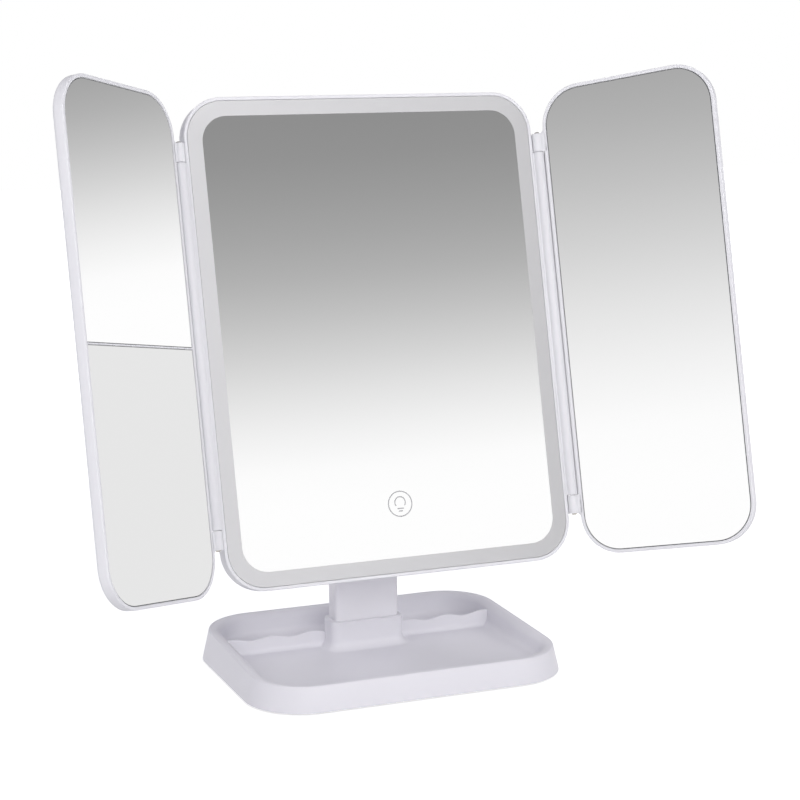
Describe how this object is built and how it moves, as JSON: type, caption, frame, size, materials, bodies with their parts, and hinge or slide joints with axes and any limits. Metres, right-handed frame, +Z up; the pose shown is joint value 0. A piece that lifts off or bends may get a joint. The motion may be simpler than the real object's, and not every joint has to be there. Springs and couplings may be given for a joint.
{
  "type": "trifold vanity mirror",
  "caption": "Tabletop vanity mirror with a light band round the centre glass, two folding side mirrors, a tilting head and a tray base.",
  "frame": {"origin": "on the table plane under the middle of the bounding box", "axes": "+Z up, -Y towards the user, +X to the right seen from the front"},
  "size_m": [0.3596, 0.18, 0.3294],
  "materials": {
    "white_moulding": "satin",
    "grey_moulding": "matt",
    "silvered_glass": "polished",
    "grey_rubber": "matt",
    "zinc_steel": "zinc plated",
    "bright_steel": "nickel plated",
    "friction_disc": "matt",
    "white_board": "solder mask",
    "green_board": "solder mask",
    "led_package": "phosphor",
    "copper_pad": "plated",
    "foam_tape": "foam"
  },
  "bodies": {
    "base": {"base_tray": "white_moulding", "bottom_cover": "white_moulding", "rubber_feet": "grey_rubber", "base_screws": "zinc_steel"},
    "neck": {"neck_front_shell": "white_moulding", "neck_rear_shell": "white_moulding", "neck_screws": "zinc_steel"},
    "head": {"tilt_bracket": "white_moulding", "bracket_screws": "zinc_steel", "tilt_axle": "zinc_steel", "tilt_nut": "zinc_steel", "friction_washers": "friction_disc", "centre_bezel": "white_moulding", "rear_shell": "white_moulding", "shell_screws": "zinc_steel", "centre_glass": "silvered_glass", "mirror_backing": "grey_moulding", "light_board": "white_board", "leds": "led_package", "driver_board": "green_board", "touch_sensor": "copper_pad", "usb_inlet": "bright_steel", "battery_springs": "bright_steel", "battery_contacts": "bright_steel", "left_hinge_pins": "bright_steel", "right_hinge_pins": "bright_steel"},
    "battery_door": {"battery_door": "white_moulding"},
    "left_wing": {"left_wing_shell": "white_moulding", "left_upper_mirror": "silvered_glass", "left_lower_mirror": "silvered_glass", "left_upper_tape": "foam_tape", "left_lower_tape": "foam_tape"},
    "right_wing": {"right_wing_shell": "white_moulding", "right_mirror": "silvered_glass", "right_tape": "foam_tape"}
  },
  "joints": [
    {"name": "neck_lift", "type": "slide", "parent": "base", "child": "neck", "axis": [0, 0, 1], "range_m": [0, 0.018]},
    {"name": "head_tilt", "type": "hinge", "parent": "neck", "child": "head", "pos_m": [0.00175, 0.04355, 0.18], "axis": [-1, 0, 0], "range_deg": [-19, 76]},
    {"name": "left_wing_fold", "type": "hinge", "parent": "head", "child": "left_wing", "pos_m": [-0.10145, 0.00823, 0.18881], "axis": [0, 0.2419, 0.9703], "range_deg": [-43, 137]},
    {"name": "right_wing_fold", "type": "hinge", "parent": "head", "child": "right_wing", "pos_m": [0.10495, 0.00823, 0.18881], "axis": [0, -0.2419, -0.9703], "range_deg": [-46, 134]},
    {"name": "battery_door_lift", "type": "slide", "parent": "head", "child": "battery_door", "axis": [0, 0.9703, -0.2419], "range_m": [0, 0.02]}
  ]
}
